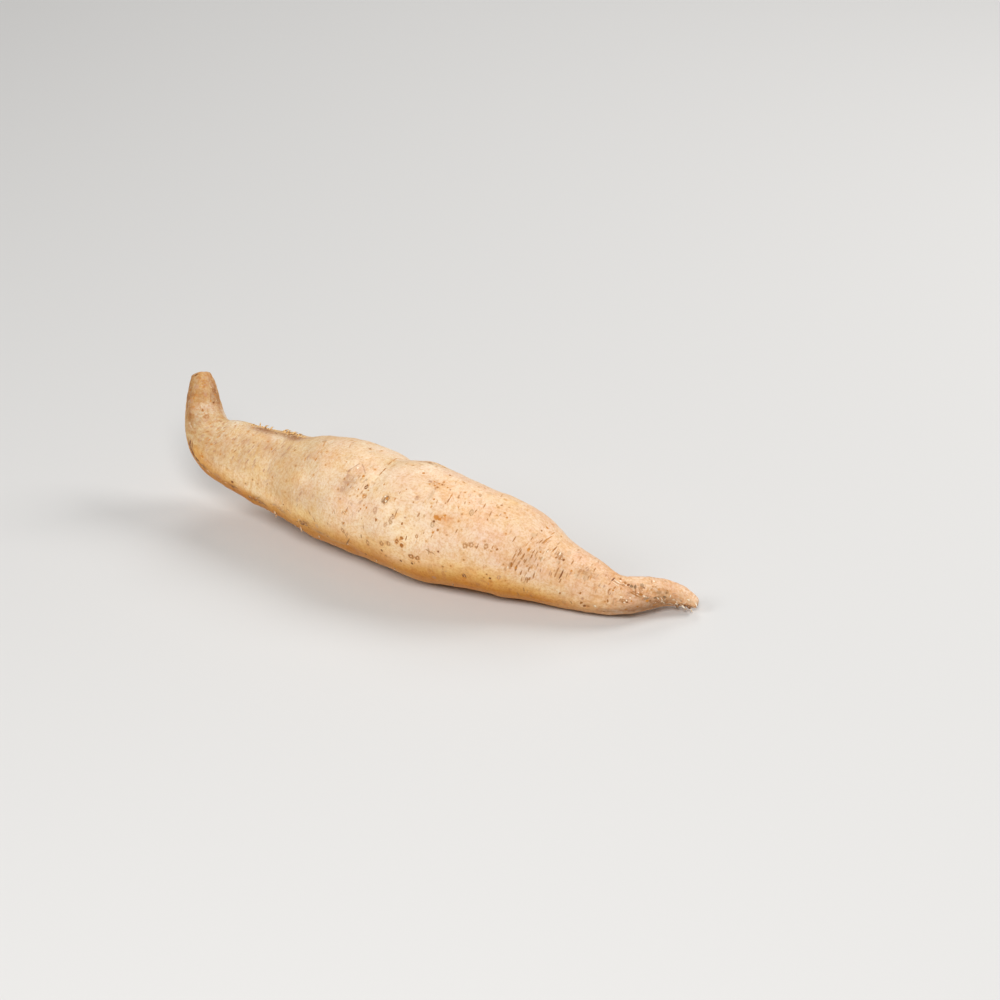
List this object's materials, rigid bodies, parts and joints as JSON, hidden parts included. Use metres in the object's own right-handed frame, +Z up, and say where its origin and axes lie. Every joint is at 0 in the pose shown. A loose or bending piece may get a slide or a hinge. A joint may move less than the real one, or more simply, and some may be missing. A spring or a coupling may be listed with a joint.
{
  "type": "sweet potato",
  "caption": "Whole raw sweet potato: long tapered storage root with pale tan skin, a hooked stem end and a thin curved root tip, lying on its belly.",
  "frame": {"origin": "on the surface that the root lies on, under the middle of its bounding box", "axes": "+X along the root from the stem end to the root tip, +Z up, +Y towards the side that the stem's hook and the tip bend to"},
  "size_m": [0.2386, 0.0566, 0.0561],
  "materials": {
    "skin": "dull raw root skin"
  },
  "bodies": {
    "root": {"sweet_potato": "skin"}
  },
  "joints": []
}
